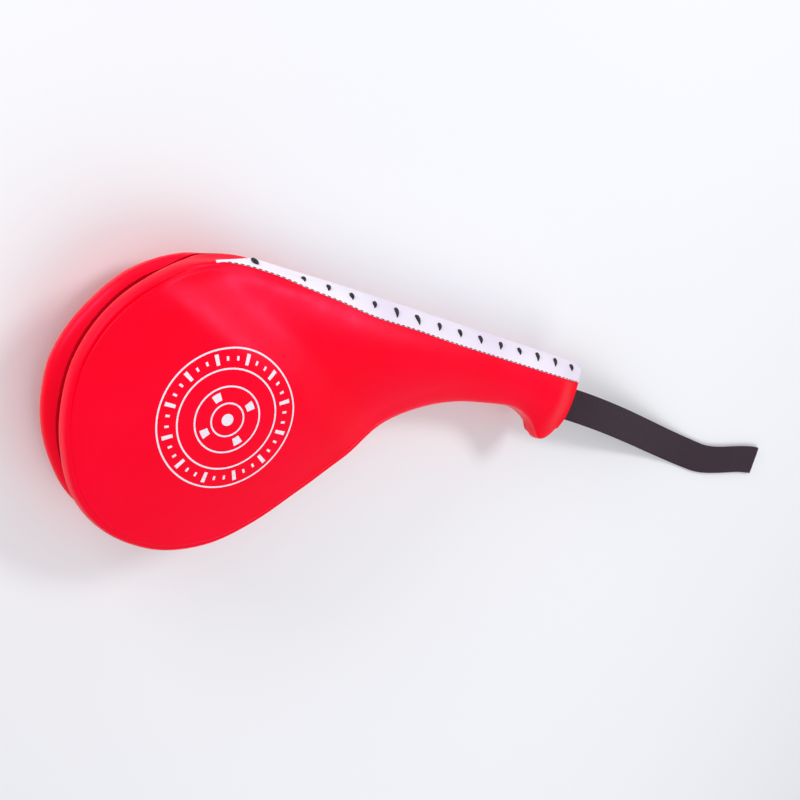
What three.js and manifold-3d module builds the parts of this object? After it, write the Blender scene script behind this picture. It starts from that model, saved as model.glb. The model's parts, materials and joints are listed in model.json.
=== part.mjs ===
// Double-leaf kicking paddle: two padded leaves on one laced handle with a wrist loop.
// Millimetres, +Z up. The paddle lies on its rear leaf, whose flat strike face is at z = 0.
// The origin is under the middle of the round head, +X runs along the handle to the wrist loop,
// +Y points to the straight laced spine, and the front leaf is on top.
import * as THREE from 'three';
import { mergeVertices } from 'three/addons/utils/BufferGeometryUtils.js';
import Module from 'manifold-3d';

const wasm = await Module();
wasm.setup();

// ---- overall sizes ----
const headRadius = 101.5;     // middle of the head to its edge
const gripEnd = 303;          // middle of the head to the end of the handle
const gripWidth = 47;         // spine to belly, where the hand goes
const hookDrop = 19;          // how far the finger hook stands below the belly
const gripHalf = 20;          // half the height of the handle
const gripWall = 9;           // mid-plane to the seam line on the handle
const leafGap = 14;           // between the two leaves
const leafWall = 14;          // inner face of a leaf to the seam round its strike face
const leafCrown = 28;         // inner face of a leaf to the top of its strike face
const crownReach = 40;        // edge of the head to the flat middle of a strike face

// ---- layers ----
const skin = 1.5;             // imitation leather with its backing
const lining = 1.3;           // inner skin of a leaf, facing the gap
const board = 2;              // stiffener of a leaf
const clearance = 0.3;        // between pieces that touch on the real paddle
const seamAbove = 0.6;        // the strike face wraps this far down the side wall

// ---- the flexing throat ----
const hingeStart = -37;       // where the leaves part at the spine, along X
const throatShare = 0.42;     // where they part at the belly, as a share of the throat curve
const hingeRelief = 2;        // each side of the flex line that is free of foam and board
const gapRamp = 42;           // distance over which the gap opens to leafGap
const rootGap = 0.3;          // half the gap between the leaves at the flex line
const gripRamp = 52;          // distance over which the leaves thin down to the handle

// ---- spine lacing ----
const knotX = -5;             // the lace starts with a knot
const laceStart = 34;
const lacePitch = 19.3;
const laceLength = 4.6;
const laceWidth = 2.4;
const laceHeight = 2.2;
const knotScale = 1.45;
const bandShoulder = 12.5;    // spine edge to the band's seam along the handle

// ---- wrist loop ----
const webWidth = 24;
const webThickness = 1.4;
const webGap = 0.5;           // between the two layers of the flattened loop
const loopReach = 286;        // handle end to the fold of the loop
const webBelowSpine = 31.5;   // spine to the middle of the webbing where it leaves the handle
const webTail = 26;           // webbing sewn in inside the handle
const webStandOff = 2;        // handle end to the first bend of the webbing
const groundGap = 0.15;

const spineY = headRadius;
const webMouthY = spineY - webBelowSpine;
const bellyY = spineY - gripWidth;
const headHalf = leafGap / 2 + leafCrown;

// ---- solids ----

function toSolid(geometry) {
  const bare = geometry.clone();
  bare.deleteAttribute('normal');
  bare.deleteAttribute('uv');
  const merged = mergeVertices(bare, 1e-4);
  const mesh = new wasm.Mesh({
    numProp: 3,
    vertProperties: new Float32Array(merged.attributes.position.array),
    triVerts: new Uint32Array(merged.index.array),
  });
  return new wasm.Manifold(mesh);
}

function toGeometry(solid) {
  const mesh = solid.getMesh();
  const geometry = new THREE.BufferGeometry();
  geometry.setAttribute('position', new THREE.BufferAttribute(new Float32Array(mesh.vertProperties), 3));
  geometry.setIndex(new THREE.BufferAttribute(new Uint32Array(mesh.triVerts), 1));
  return geometry;
}

// The rear leaf is the front leaf seen in the mid-plane.
function mirrored(geometry) {
  const copy = geometry.clone();
  copy.scale(1, 1, -1);
  const index = copy.index.array;
  for (let i = 0; i < index.length; i += 3) {
    [index[i], index[i + 1]] = [index[i + 1], index[i]];
  }
  return copy;
}

const point = (x, y) => new THREE.Vector2(x, y);
const mix = THREE.MathUtils.lerp;
const ease = THREE.MathUtils.smoothstep;

// ---- outline, seen from above ----

const roundness = 0.5523;     // handle of the Bezier curve that stands for a quarter circle
const fullness = 0.64;        // the same where the head bulges towards its lower far corner

const flank = point(headRadius - 9.5, -0.295 * headRadius);
const flankAlong = point(0.62, 0.785);
const bellyStart = point(gripEnd - 59.5, bellyY);
const throat = new THREE.CubicBezierCurve(
  flank,
  flank.clone().addScaledVector(flankAlong, 55),
  point(bellyStart.x - 78, bellyY),
  bellyStart,
);
const farSide = point(-headRadius, 0);
const bottom = point(-14, -headRadius);
const hookTip = point(gripEnd - 14, bellyY - hookDrop);
const hookEnd = point(gripEnd - 1.5, bellyY - 0.4 * hookDrop);
const outlineCurves = [
  [14, new THREE.LineCurve(point(gripEnd - 8, spineY), point(0, spineY))],
  [14, new THREE.CubicBezierCurve(
    point(0, spineY), point(roundness * farSide.x, spineY),
    point(farSide.x, roundness * spineY), farSide)],
  [14, new THREE.CubicBezierCurve(
    farSide, point(farSide.x, fullness * bottom.y),
    point(mix(bottom.x, farSide.x, fullness), bottom.y), bottom)],
  [10, new THREE.CubicBezierCurve(
    bottom, point(bottom.x + 40, bottom.y),
    flank.clone().addScaledVector(flankAlong, -40), flank)],
  [11, throat],
  [6, new THREE.CubicBezierCurve(
    bellyStart, point(bellyStart.x + 32, bellyY),
    point(hookTip.x - 7, hookTip.y), hookTip)],
  [5, new THREE.CubicBezierCurve(
    hookTip, point(hookTip.x + 5, hookTip.y),
    point(hookEnd.x - 2, hookEnd.y - 6), hookEnd)],
];

const drawCurves = (curves) => curves.flatMap(([steps, curve], i) => {
  const points = curve.getPoints(steps);
  return i === 0 ? points : points.slice(1);
});
const outline = drawCurves(outlineCurves);
const lowerEdge = drawCurves(outlineCurves.slice(2));

// Distance from a point to the paddle's edge. The cut-off handle end isn't an edge.
function edgeDistance(x, y) {
  const p = new THREE.Vector3(x, y, 0);
  const nearest = new THREE.Vector3();
  const segment = new THREE.Line3();
  let best = Infinity;
  const corners = [point(gripEnd, spineY), ...outline];
  for (let i = 1; i < corners.length; i += 1) {
    segment.start.set(corners[i - 1].x, corners[i - 1].y, 0);
    segment.end.set(corners[i].x, corners[i].y, 0);
    segment.closestPointToPoint(p, true, nearest);
    best = Math.min(best, nearest.distanceTo(p));
  }
  return best;
}

// ---- flex line: it runs from the tip of the spine band to the throat ----

const hingeTop = point(hingeStart, Math.sqrt(headRadius ** 2 - hingeStart ** 2));
const hingeBelly = throat.getPoint(throatShare);
const hingeAlong = hingeBelly.clone().sub(hingeTop).normalize();

// Distance past the flex line, counted positive into the leaves.
const intoLeaf = (x, y) => (x - hingeTop.x) * hingeAlong.y - (y - hingeTop.y) * hingeAlong.x;

// ---- heights over the mid-plane ----

const leafLift = (into) => mix(rootGap, leafGap / 2, ease(into, 0, gapRamp));
const wallHalf = (into) => leafLift(into) + mix(gripWall, leafWall, ease(into, -10, gapRamp));
const towardsLeaf = (into) => ease(into, -gripRamp, 0);
const crownHalf = (into) => leafLift(into) + mix(gripHalf - rootGap, leafCrown, towardsLeaf(into));
const crownWidth = (into) => mix(gripWidth / 2, crownReach, towardsLeaf(into));
const crownPower = 2.2;

function surfaceHalf(x, y) {
  const into = intoLeaf(x, y);
  const share = Math.min(edgeDistance(Math.min(x, gripEnd), y) / crownWidth(into), 1);
  return mix(wallHalf(into), crownHalf(into), 1 - (1 - share) ** crownPower);
}

// Point of the outside surface over (x, y), moved in by the given depth at right angles to it.
function depthPoint(x, y, depth) {
  const step = 0.4;
  const normal = new THREE.Vector3(
    (surfaceHalf(x - step, y) - surfaceHalf(x + step, y)) / (2 * step),
    (surfaceHalf(x, y - step) - surfaceHalf(x, y + step)) / (2 * step),
    1,
  ).normalize();
  return new THREE.Vector3(x, y, surfaceHalf(x, y)).addScaledVector(normal, -depth);
}

// ---- padded body: one half of the paddle, from a flat floor up to the crowned face ----

// Points round the plan, each with its inward direction. The last ones cross the handle end.
function planEdge(endInset) {
  const round = outline.map((at, i) => {
    const before = outline[Math.max(i - 1, 0)];
    const after = outline[Math.min(i + 1, outline.length - 1)];
    const along = after.clone().sub(before).normalize();
    return { at, inward: point(-along.y, along.x) };
  });
  const steps = 7;
  const hookY = outline.at(-1).y;
  for (let i = 0; i <= steps; i += 1) {
    const corner = i === 0 || i === steps;
    const inward = i === 0 ? point(0, 1) : point(0, -1);
    const at = point(gripEnd - endInset, mix(hookY, spineY, i / steps));
    round.push({ at, inward: corner ? inward : null });
  }
  return round;
}

const middleStart = 0;
const middleEnd = gripEnd - 24;

// The line down the middle of the plan that the rings of the crowned face close in on.
function middleOf(p) {
  const x = THREE.MathUtils.clamp(p.x, middleStart, middleEnd);
  const low = lowerEdge.reduce((best, q) => (Math.abs(q.x - x) < Math.abs(best.x - x) ? q : best));
  return point(x, (low.y + spineY) / 2);
}

const ringShares = [0, 0.04, 0.11, 0.22, 0.4, 0.94];
const cornerShare = 0.55;     // of the depth, taken off the height at the side wall's seam

function paddedHalf({ inset = 0, endInset = inset, floor = 0 }) {
  const edge = planEdge(endInset);
  const count = edge.length;
  const rings = ringShares.map((share) => edge.map(({ at, inward }) => {
    const p = at.clone().lerp(middleOf(at), share);
    if (share > 0 || !inward) {
      const inside = depthPoint(p.x, p.y, inset);
      return share > 0 ? inside : inside.setX(at.x);
    }
    const seam = p.addScaledVector(inward, inset);
    const z = wallHalf(intoLeaf(at.x, at.y)) - cornerShare * inset;
    return new THREE.Vector3(seam.x, seam.y, z);
  }));
  const positions = [];
  rings[0].forEach((p) => positions.push(p.x, p.y, floor));
  rings.flat().forEach((p) => positions.push(p.x, p.y, p.z));
  const index = [];
  for (let ring = 0; ring < rings.length; ring += 1) {
    for (let i = 0; i < count; i += 1) {
      const next = (i + 1) % count;
      const a = ring * count + i;
      const b = ring * count + next;
      index.push(a, b, b + count, a, b + count, a + count);
    }
  }
  const plan = (ring) => ring.map((p) => point(p.x, p.y));
  const top = rings.length * count;
  THREE.ShapeUtils.triangulateShape(plan(rings.at(-1)), []).forEach(([a, b, c]) => {
    index.push(top + a, top + b, top + c);
  });
  THREE.ShapeUtils.triangulateShape(plan(rings[0]), []).forEach(([a, b, c]) => index.push(c, b, a));
  const geometry = new THREE.BufferGeometry();
  geometry.setAttribute('position', new THREE.Float32BufferAttribute(positions, 3));
  geometry.setIndex(index);
  return toSolid(geometry);
}

// ---- prisms along the flex line ----

const leafLength = 2.4 * headRadius;
const longEnough = 8 * headRadius;
const tallLayer = 2 * (leafGap + leafCrown);

// A prism along the flex line. Its profile is drawn as distance into the leaf against height.
function leafPrism(profile) {
  const shape = new THREE.Shape(profile);
  const geometry = new THREE.ExtrudeGeometry(shape, { depth: 2 * longEnough, bevelEnabled: false });
  geometry.translate(0, 0, -longEnough);
  const basis = new THREE.Matrix4().makeBasis(
    new THREE.Vector3(hingeAlong.y, -hingeAlong.x, 0),
    new THREE.Vector3(0, 0, 1),
    new THREE.Vector3(-hingeAlong.x, -hingeAlong.y, 0),
  );
  geometry.applyMatrix4(basis);
  geometry.translate(hingeTop.x, hingeTop.y, 0);
  return toSolid(geometry);
}

// A line of points across the leaf, at the heights that the given rule has for them.
function acrossLeaf(from, height) {
  const steps = 6;
  const points = [];
  for (let i = 0; i <= steps; i += 1) {
    const into = mix(from, gapRamp, i / steps);
    points.push(point(into, height(into)));
  }
  return [...points, point(leafLength, height(leafLength))];
}

// The layer of a leaf between two heights over its inner face.
function leafLayer(low, high) {
  const under = acrossLeaf(hingeRelief, (into) => leafLift(into) + low);
  const over = acrossLeaf(hingeRelief, (into) => leafLift(into) + high);
  return leafPrism([...under, ...over.reverse()]);
}

// Everything of a leaf below (or above) the seam that joins side wall and strike face.
function seamBlock(offset, above) {
  const seam = acrossLeaf(0, (into) => wallHalf(into) - seamAbove + offset);
  const far = above ? tallLayer : -tallLayer;
  return leafPrism([...seam, point(leafLength, far), point(0, far)]);
}

const handleSide = () => leafPrism([
  point(-longEnough, -tallLayer), point(-hingeRelief, -tallLayer),
  point(-hingeRelief, tallLayer), point(-longEnough, tallLayer),
]);

function box(x, y, z, centreX, centreY, centreZ) {
  const geometry = new THREE.BoxGeometry(x, y, z);
  geometry.translate(centreX, centreY, centreZ);
  return toSolid(geometry);
}

// ---- one leaf ----

const underBoard = lining + clearance;
const underFoam = underBoard + board + clearance;
const boardInset = skin + 2.5;

function leafShell() {
  const outer = paddedHalf({ floor: -5 });
  const inner = paddedHalf({ inset: skin, floor: -8 });
  return outer.subtract(inner);
}

const facePanel = () => leafShell()
  .intersect(leafLayer(0, tallLayer))
  .intersect(seamBlock(clearance / 2, true));

const sideWall = () => leafShell()
  .intersect(leafLayer(0, tallLayer))
  .intersect(seamBlock(-clearance / 2, false));

const innerLiner = () => paddedHalf({ inset: skin + clearance, floor: -5 })
  .intersect(leafLayer(0, lining));

const stiffener = () => paddedHalf({ inset: boardInset, floor: -5 })
  .intersect(leafLayer(underBoard, underBoard + board));

const foamPad = () => paddedHalf({ inset: skin + clearance, floor: -5 })
  .intersect(leafLayer(underFoam, tallLayer));

// ---- the handle ----

function bothHalves(options) {
  const half = paddedHalf({ ...options, floor: -0.5 });
  const other = toSolid(mirrored(toGeometry(half)));
  return half.add(other);
}

// Plan of the white band: from its seam up over the spine. The band tapers out on the head.
function bandBlock(offset) {
  const shoulderX = 100;
  const taper = 8;
  const seam = [point(hingeStart - 40, hingeTop.y)];
  for (let i = 0; i <= taper; i += 1) {
    const x = mix(hingeStart, shoulderX, i / taper);
    const down = bandShoulder * ease(x, hingeStart - 30, shoulderX);
    seam.push(point(x, Math.sqrt(headRadius ** 2 - Math.min(x, 0) ** 2) - down));
  }
  seam.push(point(gripEnd + 30, spineY - bandShoulder));
  const far = spineY + 30;
  const shape = new THREE.Shape([
    ...seam.map(({ x, y }) => point(x, y + offset)),
    point(gripEnd + 30, far), point(hingeStart - 40, far),
  ]);
  const geometry = new THREE.ExtrudeGeometry(shape, { depth: 2 * tallLayer, bevelEnabled: false });
  geometry.translate(0, 0, -tallLayer);
  return toSolid(geometry);
}

// The handle's inside runs on past its cut-off end, and each piece is trimmed to its own length.
const openEnd = -5;

function gripCover() {
  const outer = paddedHalf({ floor: clearance / 2 });
  const inner = paddedHalf({ inset: skin, endInset: openEnd, floor: -5 });
  return outer.subtract(inner).intersect(handleSide()).subtract(bandBlock(-clearance));
}

function slice(fromX, toX) {
  return box(toX - fromX, longEnough, longEnough, (fromX + toX) / 2, 0, 0);
}

function webSlot(margin, fromX, toX) {
  const height = 2 * webThickness + webGap + 2 * margin;
  return box(toX - fromX, webWidth + 2 * margin, height, (fromX + toX) / 2, webMouthY, 0);
}

const inCover = skin + clearance;

const gripCore = () => bothHalves({ inset: inCover, endInset: openEnd })
  .intersect(handleSide())
  .intersect(slice(-2 * headRadius, gripEnd - 2 * inCover))
  .subtract(gripCover())
  .subtract(toSolid(mirrored(toGeometry(gripCover()))))
  .subtract(webSlot(clearance, gripEnd - webTail - 1, gripEnd + 5));

const endPatch = () => bothHalves({ inset: inCover, endInset: openEnd })
  .intersect(slice(gripEnd - inCover, gripEnd - clearance))
  .subtract(webSlot(clearance, gripEnd - webTail, gripEnd + 5));

const strapAnchor = () => webSlot(0, gripEnd - webTail, gripEnd);

// ---- spine lacing ----

// Height over the mid-plane of each stitch: it climbs from the middle of the spine, where the
// leaves part, to the front shoulder of the handle.
const laceLift = (x) => mix(-2, wallHalf(intoLeaf(x, spineY)) + 4, ease(x, -20, 105));

// Point of the outside surface on the spine, at a height over the mid-plane.
function spinePoint(x, z) {
  const into = intoLeaf(x, spineY);
  const rise = crownHalf(into) - wallHalf(into);
  const over = (z - wallHalf(into)) / rise;
  if (over <= 0) {
    return { at: new THREE.Vector3(x, spineY, z), tilt: 0 };
  }
  const share = 1 - (1 - over) ** (1 / crownPower);
  const down = share * crownWidth(into);
  const slope = (rise * crownPower * (1 - share) ** (crownPower - 1)) / crownWidth(into);
  return { at: new THREE.Vector3(x, spineY - down, z), tilt: Math.PI / 2 - Math.atan(slope) };
}

function laceBead(x, scale, margin) {
  const { at, tilt } = spinePoint(x, laceLift(x));
  const bead = new THREE.SphereGeometry(1, 12, 8);
  bead.scale(
    (scale * laceWidth) / 2 + margin,
    (scale * laceHeight) / 2 + margin,
    (scale * laceLength) / 2 + margin,
  );
  bead.rotateX(tilt);
  bead.translate(at.x, at.y, at.z);
  return bead;
}

const lace = [{ name: 'lace_knot', x: knotX, scale: knotScale }];
const stitches = Math.floor((gripEnd - 12 - laceStart) / lacePitch) + 1;
for (let i = 0; i < stitches; i += 1) {
  lace.push({
    name: `lace_stitch_${String(i + 1).padStart(2, '0')}`,
    x: laceStart + i * lacePitch,
    scale: 1,
  });
}

function spineBand() {
  const shell = bothHalves({}).subtract(bothHalves({ inset: skin, endInset: openEnd }));
  const band = shell.intersect(handleSide()).intersect(bandBlock(0));
  const dimples = lace.map(({ x, scale }) => toSolid(laceBead(x, scale, clearance)));
  return dimples.reduce((left, dimple) => left.subtract(dimple), band);
}

// ---- wrist loop ----

// Middle line of the flattened loop: level out of the handle, down to the ground, with a slow
// sideways curve that turns back near the fold.
function webPoint(share) {
  const rest = groundGap + webThickness + webGap / 2 - headHalf;
  const x = gripEnd + webStandOff + share * (loopReach - webStandOff);
  const drop = ease(share, 0.03, 0.7);
  const sideways = -18 * ease(share, 0, 0.9) + 14 * ease(share, 0.72, 1);
  return new THREE.Vector3(x, webMouthY + sideways, mix(0, rest, drop));
}

function webLayer(low, high, from) {
  const steps = 36;
  const positions = [];
  const index = [];
  for (let i = 0; i <= steps; i += 1) {
    const share = mix(from, 1, i / steps);
    const centre = webPoint(share);
    const ahead = webPoint(share + 0.004).sub(webPoint(share - 0.004)).normalize();
    const across = new THREE.Vector3(-ahead.y, ahead.x, 0).normalize();
    const up = new THREE.Vector3().crossVectors(ahead, across);
    [[-0.5, low], [0.5, low], [0.5, high], [-0.5, high]].forEach(([side, height]) => {
      const corner = centre.clone().addScaledVector(across, side * webWidth).addScaledVector(up, height);
      positions.push(...corner.toArray());
    });
    if (i > 0) {
      for (let k = 0; k < 4; k += 1) {
        const a = (i - 1) * 4 + k;
        const b = (i - 1) * 4 + ((k + 1) % 4);
        index.push(a, b, b + 4, a, b + 4, a + 4);
      }
    }
  }
  const last = steps * 4;
  index.push(0, 2, 1, 0, 3, 2, last, last + 1, last + 2, last, last + 2, last + 3);
  const geometry = new THREE.BufferGeometry();
  geometry.setAttribute('position', new THREE.Float32BufferAttribute(positions, 3));
  geometry.setIndex(index);
  return toSolid(geometry);
}

function wristLoop() {
  const inside = webGap / 2;
  const outside = inside + webThickness;
  const foldShare = 1 - webThickness / loopReach;
  return webLayer(inside, outside, 0)
    .add(webLayer(-outside, -inside, 0))
    .add(webLayer(-outside, outside, foldShare));
}

// ---- materials ----

const leather = new THREE.MeshStandardMaterial({ color: 0xe8001f, roughness: 0.42 });
const whiteLeather = new THREE.MeshStandardMaterial({ color: 0xf4f0f6, roughness: 0.5 });
const liningCloth = new THREE.MeshStandardMaterial({ color: 0xd8001c, roughness: 0.5 });
const foam = new THREE.MeshStandardMaterial({ color: 0x3a3a3e, roughness: 0.95 });
const boardPlastic = new THREE.MeshStandardMaterial({ color: 0xd9d9d2, roughness: 0.6 });
const waxedThread = new THREE.MeshStandardMaterial({ color: 0x1b151c, roughness: 0.6 });
const webbing = new THREE.MeshStandardMaterial({ color: 0x231b20, roughness: 0.85 });

// ---- assembly ----

const paddle = new THREE.Group();
paddle.position.z = headHalf;

function addPiece(name, geometry, material) {
  const flat = geometry.index ? geometry.toNonIndexed() : geometry;
  flat.computeVertexNormals();
  const mesh = new THREE.Mesh(flat, material.clone());
  mesh.name = name;
  paddle.add(mesh);
}

const leafPieces = [
  ['face_panel', facePanel(), leather],
  ['side_wall', sideWall(), leather],
  ['inner_liner', innerLiner(), liningCloth],
  ['stiffener_board', stiffener(), boardPlastic],
  ['foam_pad', foamPad(), foam],
  ['grip_cover', gripCover(), leather],
];

leafPieces.forEach(([name, solid, material]) => {
  const geometry = toGeometry(solid);
  addPiece(`front_${name}`, geometry, material);
  addPiece(`rear_${name}`, mirrored(geometry), material);
});

addPiece('spine_band', toGeometry(spineBand()), whiteLeather);
addPiece('grip_core', toGeometry(gripCore()), foam);
addPiece('grip_end_patch', toGeometry(endPatch()), leather);
addPiece('strap_anchor', toGeometry(strapAnchor()), webbing);
lace.forEach(({ name, x, scale }) => addPiece(name, laceBead(x, scale, 0), waxedThread));
addPiece('wrist_strap', toGeometry(wristLoop()), webbing);

paddle.updateMatrixWorld(true);

export default paddle;
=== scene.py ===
import json
import math

import bmesh
import bpy
import numpy as np
from mathutils import Matrix, Vector
from mathutils.bvhtree import BVHTree
from mathutils.geometry import tessellate_polygon


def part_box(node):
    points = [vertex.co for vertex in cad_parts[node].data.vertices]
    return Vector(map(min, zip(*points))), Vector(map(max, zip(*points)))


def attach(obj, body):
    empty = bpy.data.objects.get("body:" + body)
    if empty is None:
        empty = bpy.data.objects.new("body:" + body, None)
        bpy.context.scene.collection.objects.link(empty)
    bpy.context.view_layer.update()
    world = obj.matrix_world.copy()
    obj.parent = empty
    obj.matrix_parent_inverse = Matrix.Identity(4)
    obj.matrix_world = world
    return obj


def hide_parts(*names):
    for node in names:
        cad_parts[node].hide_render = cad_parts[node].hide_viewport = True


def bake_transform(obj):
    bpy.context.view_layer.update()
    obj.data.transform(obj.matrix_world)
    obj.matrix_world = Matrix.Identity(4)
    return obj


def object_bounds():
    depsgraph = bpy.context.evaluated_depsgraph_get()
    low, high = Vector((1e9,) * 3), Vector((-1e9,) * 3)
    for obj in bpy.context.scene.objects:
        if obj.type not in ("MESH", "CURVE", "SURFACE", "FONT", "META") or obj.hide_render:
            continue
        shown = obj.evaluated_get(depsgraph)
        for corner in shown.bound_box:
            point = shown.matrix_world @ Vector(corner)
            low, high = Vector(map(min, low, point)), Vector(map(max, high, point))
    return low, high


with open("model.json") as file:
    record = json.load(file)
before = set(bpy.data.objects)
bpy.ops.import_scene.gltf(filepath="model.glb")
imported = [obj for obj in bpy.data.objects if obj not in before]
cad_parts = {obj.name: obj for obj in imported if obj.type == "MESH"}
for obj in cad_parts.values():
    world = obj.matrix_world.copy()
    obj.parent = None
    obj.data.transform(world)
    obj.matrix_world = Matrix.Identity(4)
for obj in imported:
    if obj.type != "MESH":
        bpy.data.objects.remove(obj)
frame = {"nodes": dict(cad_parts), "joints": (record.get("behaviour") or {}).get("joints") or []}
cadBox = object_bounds()
print("frame loaded:", len(frame["nodes"]), "nodes")

mm = 0.001    # lengths below are in millimetres, and meshes are made in metres


def boxMm(node):
    low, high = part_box(node)
    return np.array(low) / mm, np.array(high) / mm


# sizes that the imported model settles
headRadius = -boxMm("front_face_panel")[0][0]
spineY = boxMm("spine_band")[1][1]
gripEnd = boxMm("front_grip_cover")[1][0]
midZ = cadBox[1].z / mm / 2
flexJoint = next(j for j in frame["joints"] if j["name"] == "front_leaf_flex")
flexAt = np.array(flexJoint["pos_m"][:2]) / mm
flexAlong = np.array(flexJoint["axis"][:2])
intoLeafDir = np.array([flexAlong[1], -flexAlong[0]])


camera = {
    "at": (-458.8, 154.5, 861.6),
    "lookAt": (154.6, 35.6, 35.0),
    "roll": 119.14,           # degrees; the handle then points to the right and a little down
    "lens": 63.3,
}
light = {
    "worldColour": "#F6F6FA",
    "worldStrength": 0.56,
    # each lamp: place, size, watts, whether it lights surfaces, whether it shows in reflections
    "key": ((560, 800, 980), (400, 230), 5.0, True, True),
    "fill": ((500, -500, 900), (900, 800), 3.6, True, False),
    "side": ((-900, 420, 300), (600, 300), 5.0, True, True),
    "floorColour": "#F2F3F6",
    "floorReach": 6.0,        # metres
}


def linear(hexColour):
    values = [int(hexColour[i:i + 2], 16) / 255 for i in (1, 3, 5)]
    return tuple(v / 12.92 if v < 0.04045 else ((v + 0.055) / 1.055) ** 2.4 for v in values) + (1.0,)


def addNode(tree, kind, links=(), out=None, **settings):
    # links: {input name or index: socket}, or plain values for the inputs
    node = tree.nodes.new(kind)
    for key, value in settings.items():
        setattr(node, key, value)
    for key, value in dict(links).items():
        if isinstance(value, bpy.types.NodeSocket):
            tree.links.new(value, node.inputs[key])
        else:
            node.inputs[key].default_value = value
    if out is not None:
        tree.links.new(node.outputs[0], out)
    return node


def makeCamera():
    data = bpy.data.cameras.new("camera")
    data.lens = camera["lens"]
    data.sensor_width = 36
    data.clip_start = 0.05
    data.clip_end = 20
    obj = bpy.data.objects.new("camera", data)
    at = Vector(camera["at"])
    aim = (Vector(camera["lookAt"]) - at).to_track_quat("-Z", "Y").to_matrix().to_4x4()
    roll = Matrix.Rotation(math.radians(camera["roll"]), 4, "Z")
    obj.matrix_world = Matrix.Translation(at * mm) @ aim @ roll
    bpy.context.scene.collection.objects.link(obj)
    bpy.context.scene.camera = obj


def areaLight(name):
    at, size, watts, diffuse, glossy = light[name]
    data = bpy.data.lights.new(name, "AREA")
    data.shape = "RECTANGLE"
    data.size, data.size_y = size[0] * mm, size[1] * mm
    data.energy = watts
    obj = bpy.data.objects.new(name, data)
    obj.visible_diffuse = diffuse
    obj.visible_glossy = glossy
    obj.location = Vector(at) * mm
    target = Vector((60, 30, midZ)) * mm
    obj.rotation_euler = (target - obj.location).to_track_quat("-Z", "Y").to_euler()
    bpy.context.scene.collection.objects.link(obj)


def makeStudio():
    scene = bpy.context.scene
    scene.view_settings.view_transform = "Standard"
    world = bpy.data.worlds.new("studio")
    world.use_nodes = True
    background = world.node_tree.nodes["Background"]
    background.inputs["Color"].default_value = linear(light["worldColour"])
    background.inputs["Strength"].default_value = light["worldStrength"]
    scene.world = world
    for name in ("key", "fill", "side"):
        areaLight(name)
    mesh = bpy.data.meshes.new("floor")
    reach = light["floorReach"]
    corners = [(-reach, -reach, 0), (reach, -reach, 0), (reach, reach, 0), (-reach, reach, 0)]
    mesh.from_pydata(corners, [], [(0, 1, 2, 3)])
    floor = bpy.data.objects.new("floor", mesh)
    material = bpy.data.materials.new("paintedBoard")
    material.use_nodes = True
    shader = material.node_tree.nodes["Principled BSDF"]
    shader.inputs["Base Color"].default_value = linear(light["floorColour"])
    shader.inputs["Roughness"].default_value = 0.65
    mesh.materials.append(material)
    scene.collection.objects.link(floor)


makeCamera()
makeStudio()
print("camera and studio made")


pad = {
    "gripWidth": 47.0,
    "hookDrop": 19.0,
    "roundness": 0.5523,      # Bezier handle of a quarter circle
    "fullness": 0.64,         # the same where the head bulges to its lower far corner
    "gapHalf": 7.0,
    "gapRamp": 42.0,
    "rootGap": 0.3,
    "leafWall": 14.0,
    "gripWall": 9.0,
    "faceCrown": 14.0,        # seam to the top of the strike face
    "gripCrown": 10.7,
    "edgeLip": 1.2,           # the skin rises steeply in its first millimetre or two
    "edgeStep": 2.2,
    "wallRows": 20,
    "rimRows": 18,
    "rimStep": 0.55,
    "faceRows": 26,
    "cornerPasses": 14,       # smoothing of the corner between wall and face
    # how far the stuffing pushes the skin out: degrees round the head, mm
    "frontSwell": ((60, -2.4), (92, -4.6), (112, -3.0), (135, -0.4), (160, 1.6), (180, 2.8),
                   (195, 1.0), (212, -1.8), (230, -0.8), (250, 1.2), (270, 2.4), (290, 4.4),
                   (315, 3.0), (330, 1.4)),
    "rearSwell": ((60, -2.4), (92, -2.6), (112, -0.2), (135, -1.0), (155, -0.4), (168, 2.0),
                  (182, 4.8), (198, 3.0), (220, -1.8), (240, -2.0), (270, 0.5), (330, 1.0)),
    "spineSwell": ((-60, 0), (-37, -3.0), (5, -3.4), (30, -2.4), (70, 0)),    # by X, mm
    "bellySwell": 2.9,
    "rearHookTrim": 7.5,      # the rear half of the finger hook is slimmer than the front half
    "roll": 5.0,              # the wall turns in this far at the gap
    "endCrown": 0.4,          # the skin is drawn flat where the handle is closed
    "bead": 0.55,             # the piping where the wall turns into the gap
    "seamAt": 3.4,            # edge of the leaf to the sewn seam of its face
    "seamDepth": 0.95,
    "puckerPitch": 4.6,
}


def mix(a, b, t):
    return a + (b - a) * t


def ease(x, low, high):
    t = np.clip((np.asarray(x, float) - low) / (high - low), 0, 1)
    return t * t * (3 - 2 * t)


def bump(x, centre, width):
    return np.exp(-(((x - centre) / width) ** 2))


def into(xy):
    return (np.asarray(xy, float)[..., :2] - flexAt) @ intoLeafDir


def leafLift(depth):
    return mix(pad["rootGap"], pad["gapHalf"], ease(depth, 0, pad["gapRamp"]))


def wallTop(depth):
    return leafLift(depth) + mix(pad["gripWall"], pad["leafWall"], ease(depth, -10, pad["gapRamp"]))


def bezier(p0, p1, p2, p3, count=160):
    t = np.linspace(0, 1, count, endpoint=False)[:, None]
    p0, p1, p2, p3 = (np.array(p, float) for p in (p0, p1, p2, p3))
    return (1 - t) ** 3 * p0 + 3 * (1 - t) ** 2 * t * p1 + 3 * (1 - t) * t * t * p2 + t ** 3 * p3


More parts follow.
